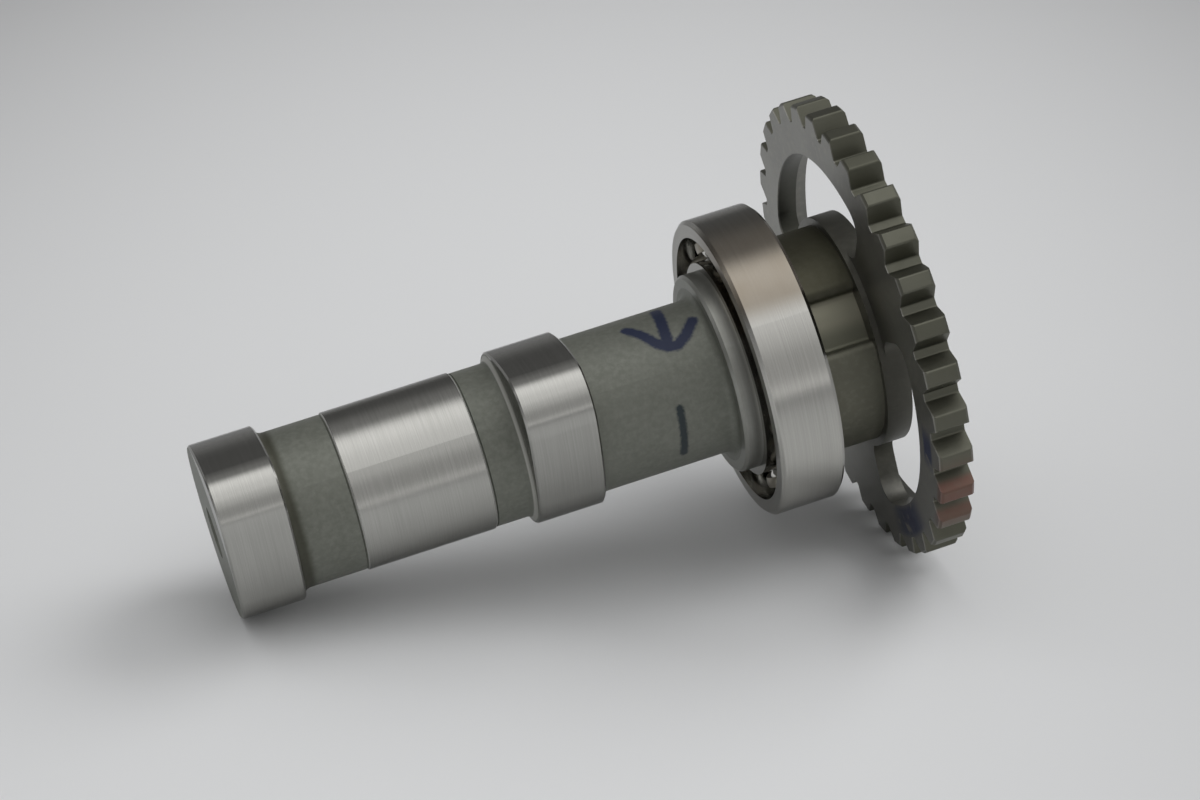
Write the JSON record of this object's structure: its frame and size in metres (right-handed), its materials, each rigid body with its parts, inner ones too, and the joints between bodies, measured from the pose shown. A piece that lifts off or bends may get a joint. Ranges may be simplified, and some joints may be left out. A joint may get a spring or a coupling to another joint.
{
  "type": "camshaft",
  "caption": "Short engine camshaft with two lobes, a plain journal, a ball bearing and a toothed chain sprocket pressed on one end.",
  "frame": {"origin": "on the shaft's axis, in the outer face of the sprocket's rim, on which the part stands", "axes": "+Z along the shaft from the sprocket to the free lobe end; +X towards the noses of both lobes"},
  "size_m": [0.0646, 0.0646, 0.0954],
  "materials": {
    "cam_steel": "as cast necks with ground lobes and journal",
    "bearing_steel": "ground bearing steel",
    "cage_steel": "pressed steel sheet",
    "hub_steel": "dark oxidised steel",
    "sprocket_steel": "hardened steel, dull grey",
    "rivet_steel": "dull steel"
  },
  "bodies": {
    "shaft": {"camshaft": "cam_steel", "bearing_inner_ring": "bearing_steel", "drive_hub": "hub_steel", "sprocket": "sprocket_steel", "sprocket_rivet_1": "rivet_steel", "sprocket_rivet_2": "rivet_steel"},
    "outer_ring": {"bearing_outer_ring": "bearing_steel"},
    "cage": {"cage_sprocket_side": "cage_steel", "cage_lobe_side": "cage_steel", "cage_rivets": "cage_steel", "bearing_ball_01": "bearing_steel", "bearing_ball_02": "bearing_steel", "bearing_ball_03": "bearing_steel", "bearing_ball_04": "bearing_steel", "bearing_ball_05": "bearing_steel", "bearing_ball_06": "bearing_steel", "bearing_ball_07": "bearing_steel", "bearing_ball_08": "bearing_steel", "bearing_ball_09": "bearing_steel", "bearing_ball_10": "bearing_steel", "bearing_ball_11": "bearing_steel", "bearing_ball_12": "bearing_steel", "bearing_ball_13": "bearing_steel"}
  },
  "joints": [
    {"name": "outer_ring_spin", "type": "hinge", "parent": "shaft", "child": "outer_ring", "pos_m": [0, 0, 0.0181], "axis": [0, 0, 1], "continuous": true},
    {"name": "cage_spin", "type": "hinge", "parent": "shaft", "child": "cage", "pos_m": [0, 0, 0.0181], "axis": [0, 0, 1], "continuous": true}
  ],
  "couplings": [
    {"joint": "cage_spin", "follows": "outer_ring_spin", "ratio": 0.57396}
  ]
}
